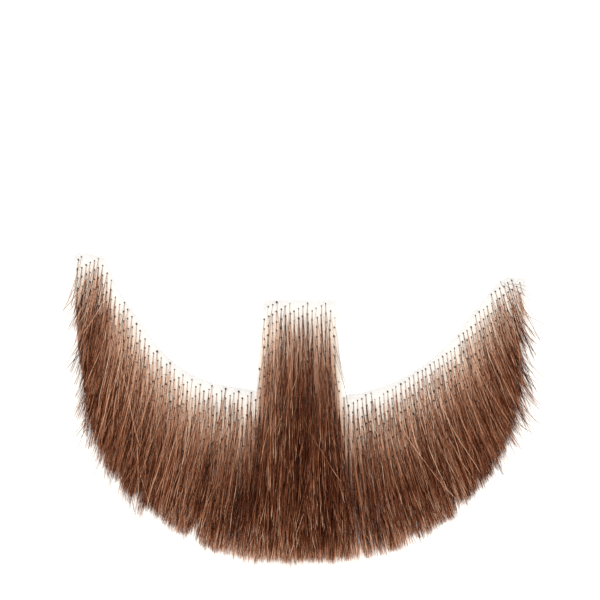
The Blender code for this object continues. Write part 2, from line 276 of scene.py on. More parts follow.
# Single hairs that stand out from the rest: from where to where, and how far they
# bow to the left of that way. The last number is their tone
Flyaway = namedtuple("Flyaway", "root tip bow tone")
FLYAWAYS = [
    Flyaway((-0.0722, 0.0509), (-0.0750, 0.0417), 0.0003, 0.60),
    Flyaway((-0.0722, 0.0480), (-0.0764, 0.0380), -0.0005, 0.55),
    Flyaway((-0.0715, 0.0440), (-0.0770, 0.0340), -0.0006, 0.35),
    Flyaway((-0.0708, 0.0300), (-0.0762, 0.0190), -0.0008, 0.25),
    Flyaway((-0.0705, 0.0260), (-0.0752, 0.0160), 0.0004, 0.15),
    Flyaway((-0.0694, 0.0180), (-0.0738, 0.0060), 0.0006, 0.10),
    Flyaway((-0.0690, 0.0130), (-0.0740, 0.0035), -0.0004, 0.15),
    Flyaway((-0.0640, 0.0020), (-0.0690, -0.0080), 0.0004, 0.10),
    Flyaway((-0.0610, -0.0010), (-0.0655, -0.0108), -0.0003, 0.15),
    Flyaway((0.0628, 0.0510), (0.0668, 0.0478), -0.0012, 0.15),
    Flyaway((0.0640, 0.0500), (0.0704, 0.0470), -0.0010, 0.20),
    Flyaway((0.0655, 0.0495), (0.0747, 0.0456), 0.0014, 0.15),
    Flyaway((0.0668, 0.0492), (0.0756, 0.0412), 0.0016, 0.20),
    Flyaway((0.0690, 0.0470), (0.0750, 0.0395), 0.0010, 0.25),
    Flyaway((0.0693, 0.0429), (0.0741, 0.0330), 0.0009, 0.10),
    Flyaway((0.0697, 0.0380), (0.0738, 0.0300), 0.0006, 0.35),
    Flyaway((0.0700, 0.0334), (0.0728, 0.0250), 0.0006, 0.12),
    Flyaway((0.0705, 0.0286), (0.0734, 0.0204), 0.0005, 0.15),
    Flyaway((0.0708, 0.0207), (0.0733, 0.0130), 0.0004, 0.12),
    Flyaway((0.0690, 0.0080), (0.0722, 0.0000), 0.0004, 0.15),
    Flyaway((0.0099, 0.0305), (0.0137, 0.0178), 0.0005, 0.05),
    Flyaway((0.0099, 0.0305), (0.0156, 0.0137), -0.0003, 0.40),
    Flyaway((0.0100, 0.0335), (0.0116, 0.0240), 0.0002, 0.45),
    Flyaway((0.0099, 0.0275), (0.0150, 0.0090), 0.0006, 0.05),
    Flyaway((-0.0121, 0.0305), (-0.0143, 0.0143), 0.0003, 0.30),
    Flyaway((-0.0118, 0.0270), (-0.0146, 0.0125), -0.0003, 0.60),
]

# They rise in an arch and are this share as high at its two ends. They taper, and
# are a little lighter at their tips
FLYAWAY_RADIUS = 0.000065
FLYAWAY_POINTS = 10
FLYAWAY_LIFT = 0.0014
FLYAWAY_LOW = 0.35
FLYAWAY_TAPER = 0.6
FLYAWAY_TIP_TONE = 0.1

# Tones run from 0 for the darkest hair to 1 for the lightest. These are how far
# they differ from knot to knot, clump to clump and hair to hair, and how strong the
# painted glints are that rise and fall along a hair
KNOT_TONES = 0.07
CLUMP_TONES = 0.08
HAIR_TONES = 0.13
GLINT_TONES = 0.11

# What is added to the tone of strays, in the middle, at the ends, towards the
# right, and near each hair's tip and root
STRAY_TONE = 0.16
STRAY_TONE_AT_ENDS = -0.36
MIDDLE_TONE = -0.05
END_TONE = 0.22
SIDE_TONE = -0.03
TIP_TONE = 0.46
TIP_TONE_AT_ENDS = -0.02
TIP_LENGTH = 0.007
ROOT_TONE = -0.55
ROOT_LENGTH = 0.0034
# The run below the lace's upper edge over which the painted light on thin hair fades
THIN_LIGHT_DEPTH = 0.022

# Where the hair is darker or lighter than round about: the middle of each patch,
# how far it reaches and what it adds to the tone
Patch = namedtuple("Patch", "x y reach tone")
PATCHES = [
    Patch(-0.0008, 0.0215, 0.0100, 0.08),
    Patch(-0.0240, 0.0015, 0.0110, 0.12),
    Patch(0.0264, -0.0016, 0.0080, 0.09),
    Patch(-0.0175, -0.0185, 0.0060, -0.08),
    Patch(0.0382, -0.0127, 0.0060, -0.10),
    Patch(-0.0495, 0.0170, 0.0110, 0.13),
    Patch(-0.0560, 0.0300, 0.0060, 0.13),
    Patch(0.0490, 0.0250, 0.0080, 0.12),
    Patch(0.0300, -0.0110, 0.0080, 0.06),
    Patch(-0.0260, -0.0270, 0.0050, -0.06),
]

# How fast the hair piles up with its run from its knot over the lace, and how far
# it has run when it does so in full. It settles again towards its tip
PILE_AT_ENDS = 0.105
PILE_AT_CHIN = 0.150
PILE_AT_GOATEE = 0.195
PILES_AFTER = 0.026
PILE_UNEVEN = 0.24
SETTLE = 0.30
SETTLES_FROM = 0.45
GOATEE_WIDTH = 0.0250
GOATEE_CENTRE = -0.0008
GOATEE_SIDE = 0.004

# The least height of hair on the lace and beside it, how soon it comes down to
# each, and how far it springs up from the pile
FLAT_HEIGHT = 0.00055
DROP_RUN = 0.0006
HAIR_CLEAR = 0.0003
OFF_LACE_OVER = 0.006
SPRING = 0.0006
SPRING_RUN = 0.012

# Limits for comparing places: a height that counts as none, the digits that tell
# places apart, how far inside the lace's ends its edge is read, and a length that
# is safe to divide by
UNDERSIDE = 1e-6
PLACE_DIGITS = 7
EDGE_INSET = 1e-5
TINY = 1e-12

# The colours of hair by its tone
HAIR_COLOURS = [
    (0.00, (0.016, 0.0030, 0.0008)),
    (0.25, (0.064, 0.0135, 0.0045)),
    (0.50, (0.190, 0.0570, 0.0240)),
    (0.75, (0.470, 0.2050, 0.1100)),
    (1.00, (0.820, 0.5300, 0.3700)),
]
HAIR_ROUGHNESS = 0.36
HAIR_ROUGHNESS_MORE = 0.16
HAIR_GLOSS = 0.06
HAIR_IOR = 1.55

# The colours of the lace by its depth below its upper edge, in shares of the depth given
# above: grey at the cut edge, ivory below it, and further down a painted warm shade
# that darkens to the hair's brown under the hair
LACE_AND_SHADE_COLOURS = [
    (0.00, (0.50, 0.54, 0.59)),
    (0.12, (0.84, 0.83, 0.81)),
    (0.45, (0.85, 0.76, 0.66)),
    (0.80, (0.67, 0.45, 0.33)),
    (1.00, (0.43, 0.24, 0.16)),
]
LACE_ROUGHNESS = 0.8

# The other finishes follow a fine noise, by so many grains for each metre. It adds
# to their roughness, and leads their colours from one to another
Grain = namedtuple("Grain", "scale detail roughness more")
KNOT_GRAIN = Grain(18000.0, 2.0, 0.45, 0.20)
KNOT_COLOURS = [(0.3, (0.012, 0.007, 0.006)), (0.7, (0.050, 0.026, 0.018))]
THREAD_GRAIN = Grain(6300.0, 1.0, 0.70, 0.10)
THREAD_COLOURS = [(0.3, (0.88, 0.83, 0.74)), (0.7, (0.94, 0.91, 0.85))]
FLOOR_GRAIN = Grain(5.0, 2.0, 0.85, 0.10)

FLOOR_HALF_WIDTH = 6.0
FLOOR_COLOUR = (0.94, 0.92, 0.90, 1.0)

# The studio: an even warm light all round, and two soft lights that face the beard
WORLD_COLOUR = (1.0, 0.965, 0.925, 1.0)
WORLD_STRENGTH = 0.94
Light = namedtuple("Light", "name place size power")
LIGHTS = [
    Light("key", (-0.35, 0.55, 0.95), 0.50, 8.0),
    Light("fill", (0.65, -0.25, 0.80), 0.60, 3.0),
]
LIGHT_COLOUR = (1.0, 0.95, 0.90)
LIGHT_TARGET = (0.0, 0.01, 0.0)

# The camera looks straight down. The photograph's pixels are this wide on the
# floor, and the frame's origin is at this pixel
PIXEL = 0.000318
ORIGIN_PIXEL = (302, 440)
FRAME_PIXELS = 600
LENS = 100.0
SENSOR = 36.0
NEAREST = 0.01

random_numbers = np.random.default_rng(29)


class Socket:
    """An output of a material's node. Its sums and products add their Math nodes."""

    def __init__(self, finish, socket):
        self.finish = finish
        self.socket = socket

    def _math(self, operation, first, second=None):
        inputs = {0: first} if second is None else {0: first, 1: second}
        return self.finish.node("ShaderNodeMath", {"operation": operation}, inputs)

    def __add__(self, other):
        return self._math("ADD", self, other)

    __radd__ = __add__

    def __sub__(self, other):
        return self._math("SUBTRACT", self, other)

    def __rsub__(self, other):
        return self._math("SUBTRACT", other, self)

    def __mul__(self, other):
        return self._math("MULTIPLY", self, other)

    __rmul__ = __mul__

    def cosine(self):
        return self._math("COSINE", self)

    def clamped(self):
        return self._math("MAXIMUM", self._math("MINIMUM", self, 1.0), 0.0)


class Finish:
    """A material under construction, with its Principled shader."""

    def __init__(self, name, **constants):
        self.material = bpy.data.materials.new(name)
        self.material.use_nodes = True
        self.nodes = self.material.node_tree.nodes
        self.shader = self.nodes["Principled BSDF"]
        self.shade(**constants)

    def node(self, kind, settings=None, inputs=None, output=0):
        """Adds a node: its settings first, then values or links for its sockets."""
        made = self.nodes.new(kind)
        for name, value in (settings or {}).items():
            setattr(made, name, value)
        for name, value in (inputs or {}).items():
            self.feed(made.inputs[name], value)
        return Socket(self, made.outputs[output])

    def ramp(self, stops, share):
        """A colour between stops, each a share from 0 to 1 and its colour."""
        made = self.nodes.new("ShaderNodeValToRGB")
        elements = made.color_ramp.elements
        while len(elements) < len(stops):
            elements.new(1.0)
        for element, (place, colour) in zip(elements, stops):
            element.position = place
            element.color = (*colour, 1.0)
        self.feed(made.inputs["Fac"], share)
        return Socket(self, made.outputs["Color"])

    def feed(self, socket, value):
        if isinstance(value, Socket):
            self.material.node_tree.links.new(value.socket, socket)
        else:
            socket.default_value = value

    def shade(self, **inputs):
        for socket, value in inputs.items():
            self.feed(self.shader.inputs[socket.replace("_", " ")], value)


# Curves and fields on the beard's plane


def smooth_curve(points, steps):
    """A Catmull-Rom curve through points, with this many steps between two of them."""
    ends = np.vstack([2 * points[0] - points[1], points, 2 * points[-1] - points[-2]])
    curve = []
    for before, start, end, after in zip(ends, ends[1:], ends[2:], ends[3:]):
        for t in np.arange(steps) / steps:
            curve.append(
                0.5
                * (
                    2 * start
                    + (end - before) * t
                    + (2 * before - 5 * start + 4 * end - after) * t**2
                    + (3 * start - before - 3 * end + after) * t**3
                )
            )
    curve.append(points[-1])
    return np.array(curve)


def trim_outline():
    """The hair's trimmed outline, closed well above the beard."""
    corners = np.array([(point.x * HALF_WIDTH, point.y * BEARD_HEIGHT) for point in TRIM])
    tips = smooth_curve(corners, TRIM_STEPS)
    above = [(tips[-1, 0], BEARD_HEIGHT), (tips[0, 0], BEARD_HEIGHT)]
    return np.vstack([tips, above])


def signed_area(outline):
    """The area of a closed outline, below 0 where it runs clockwise."""
    turned = np.roll(outline, -1, axis=0)
    return float(np.sum(outline[:, 0] * turned[:, 1] - turned[:, 0] * outline[:, 1])) / 2


def outward_from(along, outline):
    """Unit ways out of a closed outline, square to the given ways along it."""
    outward = np.stack([along[:, 1], -along[:, 0]], axis=1) * np.sign(signed_area(outline))
    return outward / np.linalg.norm(outward, axis=1, keepdims=True)


def lace_outline():
    """The cut edge of the lace once round: the edge of its solid's flat underside, with a margin."""
    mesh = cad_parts["lace_base"].data
    edges = set()
    for polygon in mesh.polygons:
        corners = [mesh.vertices[v].co for v in polygon.vertices]
        if all(corner.z < UNDERSIDE for corner in corners):
            places = [tuple(round(c, PLACE_DIGITS) for c in corner[:2]) for corner in corners]
            edges.update(zip(places, places[1:] + places[:1]))
    follows = {a: b for a, b in edges if (b, a) not in edges}
    start = min(follows)
    outline = [start]
    while follows[outline[-1]] != start:
        outline.append(follows[outline[-1]])
    outline = np.array(outline)
    along = np.roll(outline, -1, axis=0) - np.roll(outline, 1, axis=0)
    return outline + outward_from(along, outline) * LACE_MARGIN


def closed(outline):
    """An outline with its first point again at its end."""
    return np.vstack([outline, outline[:1]])


def below_edge(points, outline):
    """How far each point is straight below the lace's upper edge.

    A point beside the lace is measured below the end that is next to it.
    """
    x, y = points[..., 0], points[..., 1]
    x = np.clip(x, outline[:, 0].min() + EDGE_INSET, outline[:, 0].max() - EDGE_INSET)
    top = np.full(x.shape, -np.inf)
    for (ax, ay), (bx, by) in zip(outline, np.roll(outline, -1, axis=0)):
        if ax == bx:
            continue
        share = (x - ax) / (bx - ax)
        here = (share >= 0) & (share <= 1)
        top = np.where(here, np.maximum(top, ay + share * (by - ay)), top)
    return np.maximum(top - y, 0)


def inside(points, outline):
    """Whether each of an array of points lies in a closed outline."""
    flat = points.reshape(-1, 2)
    within = np.zeros(len(flat), bool)
    for (ax, ay), (bx, by) in zip(outline, np.roll(outline, -1, axis=0)):
        if ay == by:
            continue
        crosses = (ay > flat[:, 1]) != (by > flat[:, 1])
        where = ax + (flat[:, 1] - ay) * (bx - ax) / (by - ay)
        within ^= crosses & (flat[:, 0] < where)
    return within.reshape(points.shape[:-1])


def distance_to(points, line):
    """How far each point is from a line of points."""
    flat = points.reshape(-1, 2)
    best = np.full(len(flat), np.inf)
    for a, b in zip(line, line[1:]):
        along = b - a
        share = np.clip(((flat - a) @ along) / max(along @ along, TINY), 0, 1)
        best = np.minimum(best, np.linalg.norm(flat - a - share[:, None] * along, axis=1))
    return best.reshape(points.shape[:-1])


def ease(values):
    """From 0 to 1 with soft ends."""
    t = np.clip(values, 0.0, 1.0)
    return t * t * (3 - 2 * t)


def in_zone(sideways, zone):
    """From 0 where a zone starts to 1 where it is full, with soft ends."""
    return ease((sideways - zone.start) / (zone.full - zone.start))


def blend(first, last, share):
    """From the first value to the last one as the share grows from 0 to 1."""
    return first + (last - first) * share


def combed_lean(x, run):
    """The lean in radians of hair at x, after it has run this far from its knot."""
    share = x / HALF_WIDTH
    places = [row.x for row in COMBING]
    root = np.interp(share, places, [row.root for row in COMBING])
    tip = np.interp(share, places, [row.tip for row in COMBING])
    return np.radians(blend(root, tip, ease(run / COMBED_AFTER)))


def fanning(x):
    """How much wider the combing spreads hair that starts at x by the time it has run FAN_RUN."""
    turned = combed_lean(x + PATH_STEP, COMBED_AFTER) - combed_lean(x - PATH_STEP, COMBED_AFTER)
    return turned / (2 * PATH_STEP) * FAN_RUN


def on_goatee(x):
    """1 on the goatee and 0 beside it, with soft sides."""
    off_goatee = (np.abs(x - GOATEE_CENTRE) - GOATEE_WIDTH / 2) / GOATEE_SIDE
    return 1 - ease(off_goatee + 0.5)


def side_share(knots):
    """1 at the sides of the lace's ends and tab, where the growth thins out, and 0 elsewhere."""
    x, y = knots[:, 0], knots[:, 1]
    at_end = ease((np.abs(x) - END_SIDE_FROM) / END_SIDE_OVER)
    off_middle = np.abs(x - GOATEE_CENTRE)
    at_tab = (1 - TAB_RIM_SHARE) * ease((off_middle - TAB_SIDE_FROM) / TAB_SIDE_OVER)
    at_tab += TAB_RIM_SHARE * ease((off_middle - TAB_RIM_FROM) / TAB_RIM_OVER)
    on_tab = (y > TAB_BOTTOM) & (off_middle < TAB_RIM_FROM + 2 * TAB_RIM_OVER)
    return np.maximum(at_end * END_SHARE, at_tab * on_tab)


def pile_rate(x):
    """The rise of the hair for each metre that it runs, by where it is knotted."""
    cheek = blend(PILE_AT_CHIN, PILE_AT_ENDS, ease(np.abs(x) / HALF_WIDTH))
    return blend(cheek, PILE_AT_GOATEE, on_goatee(x))


def patch_tone(places):
    """What the darker and lighter patches add to the tone at each point."""
    tone = np.zeros(places.shape[:-1])
    for patch in PATCHES:
        away = np.linalg.norm(places - (patch.x, patch.y), axis=-1)
        tone += patch.tone * np.exp(-((away / patch.reach) ** 2))
    return tone


def notch_cut(x):
    """How much shorter the gaps in the trimmed tips make hair that ends at x."""
    cut = np.zeros(x.shape)
    for notch in NOTCHES:
        cut += notch.depth * np.exp(-(((x - notch.x) / notch.width) ** 2))
    return cut


# Knots


def knot_places(outline):
    """The lattice of knots inside the lace's edge."""
    places = [column.x for column in COLUMNS]
    steps = [column.step for column in COLUMNS]
    rises = [column.rise for column in COLUMNS]
    count = int(HALF_WIDTH / min(steps)) + SPARE_COLUMNS
    columns = [FIRST_KNOT]
    for side in (-1, 1):
        x, y = FIRST_KNOT
        for _ in range(count):
            share = x / HALF_WIDTH
            step, rise = np.interp(share, places, steps), np.interp(share, places, rises)
            x, y = x + side * step, y + side * rise
            columns.append((x, y))
    rows = np.arange(-KNOT_ROWS, KNOT_ROWS + 1) * KNOT_PITCH
    knots = np.array([(x, y + down) for x, y in columns for down in rows])
    knots = knots[inside(knots, outline)]
    knots = knots[distance_to(knots, closed(outline)) > KNOT_MARGIN]
    knots = knots[random_numbers.random(len(knots)) < KNOT_SHARE]
    return knots + random_numbers.normal(0, KNOT_SCATTER, knots.shape)


# Hair


def hair_paths(roots, turn, curl):
    """The way of each hair on the plane, step by step, as the combing leads it."""
    places = [roots.copy()]
    for i in range(PATH_STEPS):
        run = i * PATH_STEP
        here = places[-1]
        lean = combed_lean(here[:, 0], run) + turn * ease(run / TURNS_AFTER) + curl * run
        heading = np.stack([np.sin(lean), -np.cos(lean)], axis=1)
        places.append(here + heading * PATH_STEP)
    return np.stack(places, axis=1)


def path_at(paths, runs):
    """The points of each path at the given runs, one row of runs for each path."""
    scaled = np.clip(runs / PATH_STEP, 0, PATH_STEPS - TINY)
    low = scaled.astype(int)
    share = (scaled - low)[..., None]
    row = np.arange(len(paths))[:, None]
    return blend(paths[row, low], paths[row, low + 1], share)


def steps_inside(paths, outline):
    """How far each path runs before it first leaves an outline."""
    within = inside(paths, outline)
    left = np.argmax(~within, axis=1)
    left[within.all(axis=1)] = PATH_STEPS
    return np.maximum(left, 1) * PATH_STEP


# The clump of each knot, and then what the hairs of each clump share
Clumps = namedtuple("Clumps", "of_knot middles turns guides cuts")


def clumps_of(knots):
    """Gathers neighbouring knots in clumps."""
    cells = knots / CLUMP_SPACING + random_numbers.normal(0, CLUMP_SCATTER, knots.shape)
    _, of_knot = np.unique(np.round(cells).astype(int), axis=0, return_inverse=True)
    of_knot = of_knot.reshape(-1)
    members = np.bincount(of_knot)
    middles = np.stack([np.bincount(of_knot, knots[:, k]) / members for k in (0, 1)], axis=1)
    turns = np.radians(random_numbers.normal(0, CLUMP_DEGREES, len(members)))
    guides = hair_paths(middles, turns, np.zeros(len(members)))
    cuts = random_numbers.normal(0, TUFT_CUT, len(members))
    return Clumps(of_knot, middles, turns, guides, cuts)


def hairs_wanted(kind, knots, below, lace_edge):
    """How many hairs of a kind grow from each knot, before that is rounded."""
    later = GOATEE_LATER * on_goatee(knots[:, 0])
    deep = ease((below - THICKENS_FROM - later) / THICKENS_OVER)
    side = side_share(knots)
    near_edge = ease(1 - distance_to(knots, closed(lace_edge)) / HEM_BAND)
    near_hem = near_edge * ease((below - HEM_FROM) / HEM_BAND) * (1 - side)
    deep = np.maximum(deep, near_hem)
    more = HEM_MORE * near_hem + np.maximum(fanning(knots[:, 0]), 0)
    wanted = blend(kind.at_edge, kind.deep, deep) * (1 + more * deep)
    return wanted * (1 - SIDE_THINNER * side)


def along_hair(count):
    """The places of a hair's points in shares of its length, closest together at its ends."""
    even = np.linspace(0, 1, count)
    return (even + 0.5 - 0.5 * np.cos(math.pi * even)) / 2


def pile_height(kind, x, share, runs, on_lace, phase):
    """The height of each hair's points, on the hair of the knots that it has passed."""
    rate = pile_rate(x) * np.exp(random_numbers.normal(0, PILE_UNEVEN, len(x)))
    piled = ease(on_lace / PILES_AFTER)
    pile = rate[:, None] * on_lace * piled
    settled = 1 - SETTLE * ease((share - SETTLES_FROM) / (1 - SETTLES_FROM))
    arch = np.sin(math.pi * np.clip(runs / SPRING_RUN, 0, 1))
    spring = SPRING * arch * random_numbers.random(len(x))[:, None]
    weave = WEAVE * np.sin(2 * math.pi * runs / WEAVE_LENGTH + 2 * phase)
    from_knot = LACE_HEIGHT + KNOT_SIZE / 2 - FLAT_HEIGHT
    base = FLAT_HEIGHT + from_knot * np.exp(-runs / DROP_RUN)
    base += (HAIR_CLEAR - FLAT_HEIGHT) * ease((runs - on_lace) / OFF_LACE_OVER)
    return base + kind.lift * pile * settled + (spring + weave) * piled


def tapered(share, runs):
    """How thick a hair is along its length: thin at its knot, full below it, and thin at its tip."""
    from_root = blend(ROOT_SHARE, 1, ease(runs / THICK_AFTER))
    return from_root * blend(1, TIP_SHARE, ease((share - (1 - TIP_TAPER)) / TIP_TAPER))


def grow(kind, knots, knot_tones, clumps, lace_edge, trimmed):
    """All hairs of one kind: the knot of each, and the points, radii and tones along it."""
    below = below_edge(knots, lace_edge)
    wanted = hairs_wanted(kind, knots, below, lace_edge)
    counts = np.floor(wanted + random_numbers.random(len(knots))).astype(int)
    owner = np.repeat(np.arange(len(knots)), counts)
    roots = knots[owner]
    clump = clumps.of_knot[owner]
    total = len(roots)
    sideways = np.abs(roots[:, 0]) / HALF_WIDTH
    at_end = in_zone(sideways, STRAY_ZONE)

    # Each hair has its own course
    turn = clumps.turns[clump] + np.radians(random_numbers.normal(0, LOOSE_DEGREES, total))
    curl = np.radians(random_numbers.normal(0, CURL_DEGREES, total))
    stray = random_numbers.random(total) < blend(STRAY_SHARE, STRAYS_AT_ENDS, at_end)
    turn[stray] += np.radians(random_numbers.normal(0, STRAY_DEGREES, stray.sum()))
    turn += np.radians(STRAY_OUT * np.sign(roots[:, 0]) * at_end) * stray
    curl[stray] *= STRAY_CURL
    paths = hair_paths(roots, turn, curl)

    # It ends at the trimmed outline, unless it is too short to reach it. Its own cut
    # is as long as a random arrow in space, so few hairs are left uncut
    arrow = np.linalg.norm(random_numbers.normal(0, 1, (total, 3)), axis=1)
    cut = blend(TIP_CUT_AT_CHIN, TIP_CUT_AT_ENDS, in_zone(sideways, TIP_CUT_ZONE))
    trim = arrow * cut - TIP_CUT_START
    tuft = blend(TUFT_CUT_AT_CHIN, TUFT_CUT_AT_ENDS, in_zone(sideways, TUFT_ZONE))
    trim += np.abs(clumps.cuts[clump]) * tuft
    overshoots = random_numbers.random(len(clumps.cuts)) < OVERSHOOT_SHARE
    beyond = random_numbers.exponential(OVERSHOOT, len(clumps.cuts)) * overshoots
    beyond = beyond[clump] * in_zone(sideways, OVERSHOOT_ZONE)
    trim -= beyond * random_numbers.uniform(*OVERSHOOTS_VARY, total)
    trim -= STRAY_REACH * at_end * stray * random_numbers.random(total)
    length = kind.length * random_numbers.uniform(*LENGTHS_VARY, total)
    run_inside = steps_inside(paths, trimmed)
    trim += notch_cut(path_at(paths, run_inside[:, None])[:, 0, 0])
    length = np.minimum(length, run_inside - trim)
    length = np.clip(length, SHORTEST_HAIR, PATH_STEPS * PATH_STEP)
    share = along_hair(kind.points)
    runs = share[None, :] * length[:, None]
    plane = path_at(paths, runs)

    # It is drawn towards its clump's guide the further it runs
    ahead = (clumps.middles[clump] - roots)[:, 1]
    pull = CLUMP_PULL * ease(runs / CLUMP_AFTER) * (~stray)[:, None]
    guided = path_at(clumps.guides[clump], np.clip(runs + ahead[:, None], 0, None))
    plane += pull[..., None] * (guided - plane)

    # The hairs of one knot leave it in a bundle and part round the knot below. The
    # waves of one hair start at its phase and at multiples of it
    sides = random_numbers.choice([-1, 1], total)
    fan = sides * kind.part + random_numbers.normal(0, kind.spread, total)
    width = blend(BUNDLE_WIDTH, SPREAD_WIDTH, ease(runs / SPREAD_AFTER))
    phase = random_numbers.uniform(0, 2 * math.pi, total)[:, None]
    wave = WAVE * np.sin(2 * math.pi * runs / WAVE_LENGTH + phase) * ease(runs / WAVES_AFTER)
    plane[..., 0] += fan[:, None] * width * ease(runs / PARTS_AFTER) + wave

    on_lace = np.minimum(runs, steps_inside(paths, lace_edge)[:, None])
    height = pile_height(kind, roots[:, 0], share, runs, on_lace, phase)
    height[stray] += STRAY_LIFT * ease(share)
    points = np.concatenate([plane, np.maximum(height, HAIR_CLEAR)[..., None]], axis=2)

    thick = kind.radius * np.exp(random_numbers.normal(0, RADII_VARY, total))
    thick = thick * (1 + STRAY_THICKER * at_end * stray)
    radius = thick[:, None] * tapered(share, runs)

    # It is painted lighter where it lies thin over the pale net, a painted light that
    # fades as it runs under the pile, and it is lighter at its cut tip
    tone = kind.tone + knot_tones[owner] + random_numbers.normal(0, HAIR_TONES, total)
    tone += blend(MIDDLE_TONE, END_TONE, sideways)
    tone += blend(STRAY_TONE, STRAY_TONE_AT_ENDS, at_end) * stray
    tone += SIDE_TONE * roots[:, 0] / HALF_WIDTH
    tip_tone = blend(TIP_TONE, TIP_TONE_AT_ENDS, in_zone(sideways, TIP_TONE_ZONE))
    from_tip = length[:, None] - runs
    tone = tone[:, None] + tip_tone[:, None] * ease(1 - from_tip / TIP_LENGTH)
    # Painted light where the hair lies thin, fading with its depth below the lace's upper edge
    tone += kind.veil * np.exp(-(below[owner][:, None] + runs) / THIN_LIGHT_DEPTH)
    tone += ROOT_TONE * np.exp(-runs / ROOT_LENGTH)
    # Painted glints: the tone rises and falls along each hair
    tone += GLINT_TONES * np.sin(2 * math.pi * runs / WEAVE_LENGTH + 3 * phase)
    tone += patch_tone(plane)
    return owner, points, radius, np.clip(tone, 0, 1)


def tubes(name, points, radius, tone):
    """Tapered tubes along rows of points, each with a cap at its root and a point at its tip."""
    count, steps, _ = points.shape
    ahead = np.gradient(points, axis=1)
    ahead /= np.linalg.norm(ahead, axis=2, keepdims=True)
    side = np.cross(ahead, (0.0, 0.0, 1.0))
    side /= np.linalg.norm(side, axis=2, keepdims=True)
    up = np.cross(side, ahead)
    angles = 2 * math.pi * (np.arange(HAIR_SIDES) + RING_TURN) / HAIR_SIDES
    rings = steps - 1
    around = np.cos(angles)[:, None] * side[:, :rings, None]
    around = around + np.sin(angles)[:, None] * up[:, :rings, None]
    ring = points[:, :rings, None] + radius[:, :rings, None, None] * around
    each = rings * HAIR_SIDES + 1
    vertices = np.concatenate([ring.reshape(count, -1, 3), points[:, -1:]], axis=1)

    corner = np.arange(HAIR_SIDES)
    after = (corner + 1) % HAIR_SIDES
    faces = []
    for start in range(0, (rings - 1) * HAIR_SIDES, HAIR_SIDES):
        a, b = start + corner, start + after
        c, d = a + HAIR_SIDES, b + HAIR_SIDES
        faces += [np.stack([a, b, d], axis=1), np.stack([a, d, c], axis=1)]
    last = (rings - 1) * HAIR_SIDES
    tip = np.full(HAIR_SIDES, each - 1)
    faces.append(np.stack([last + corner, last + after, tip], axis=1))
    faces.append(np.array([[0, j + 1, j] for j in range(1, HAIR_SIDES - 1)]))
    faces = np.concatenate(faces)
    faces = (faces[None] + (np.arange(count) * each)[:, None, None]).reshape(-1, 3)

    ring_tone = np.repeat(tone[:, :rings], HAIR_SIDES, axis=1)
    obj = array_mesh(name, vertices.reshape(-1, 3), faces)
    write_attribute(obj, "tone", np.hstack([ring_tone, tone[:, -1:]]))
    return obj


def array_mesh(name, vertices, triangles):
    """A smooth mesh from arrays of points and triangles."""
    mesh = bpy.data.meshes.new(name)
    mesh.vertices.add(len(vertices))
    mesh.vertices.foreach_set("co", vertices.astype(np.float32).ravel())
    mesh.loops.add(triangles.size)
    mesh.loops.foreach_set("vertex_index", triangles.astype(np.int32).ravel())
    mesh.polygons.add(len(triangles))
    mesh.polygons.foreach_set("loop_start", np.arange(0, triangles.size, 3, dtype=np.int32))
    mesh.update(calc_edges=True)
    mesh.shade_smooth()
    obj = bpy.data.objects.new(name, mesh)
    bpy.context.scene.collection.objects.link(obj)
    return obj


def write_attribute(obj, name, values):
    """Gives each vertex its value, for a finish to read."""
    made = obj.data.attributes.new(name, "FLOAT", "POINT")
    made.data.foreach_set("value", values.astype(np.float32).ravel())


def hair_pieces(knots, lace_edge, trimmed):
    """All the hair: a piece for each kind in the goatee and in each cheek."""
    clumps = clumps_of(knots)
    knot_tones = random_numbers.normal(0, CLUMP_TONES, len(clumps.cuts))[clumps.of_knot]
    knot_tones += random_numbers.normal(0, KNOT_TONES, len(knots))
    pieces = []
    for name, kind in KINDS.items():
        owner, points, radius, tone = grow(kind, knots, knot_tones, clumps, lace_edge, trimmed)
        off_middle = knots[owner, 0] - GOATEE_CENTRE
        goatee = np.abs(off_middle) < GOATEE_WIDTH / 2
        sections = {
            "goatee": goatee,
            "left_cheek": ~goatee & (off_middle < 0),
            "right_cheek": ~goatee & (off_middle > 0),
        }
        for section, pick in sections.items():
            piece = tubes(f"{section}_{name}_hair", points[pick], radius[pick], tone[pick])
            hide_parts(f"{section}_hair")
            pieces.append(piece)
    return pieces


def flyaway_hairs():
    """The single hairs that stand out at the edges."""
    share = np.linspace(0, 1, FLYAWAY_POINTS)
    roots = np.array([hair.root for hair in FLYAWAYS])
    ways = np.array([hair.tip for hair in FLYAWAYS]) - roots
    bows = np.array([hair.bow for hair in FLYAWAYS])
    sideways = np.stack([-ways[:, 1], ways[:, 0]], axis=1)
    sideways /= np.linalg.norm(sideways, axis=1, keepdims=True)
    arch = 4 * share * (1 - share)
    plane = roots[:, None] + ways[:, None] * share[None, :, None]
    plane += (sideways * bows[:, None])[:, None] * arch[None, :, None]
    height = FLAT_HEIGHT + FLYAWAY_LIFT * blend(FLYAWAY_LOW, 1, arch)
    points = np.concatenate([plane, np.broadcast_to(height, plane.shape[:2])[..., None]], axis=2)
    radius = FLYAWAY_RADIUS * (1 - FLYAWAY_TAPER * share**2)
    tone = np.array([hair.tone for hair in FLYAWAYS])[:, None] + FLYAWAY_TIP_TONE * share
    return tubes("flyaway_hair", points, np.broadcast_to(radius, tone.shape), tone)


# Lace and knots


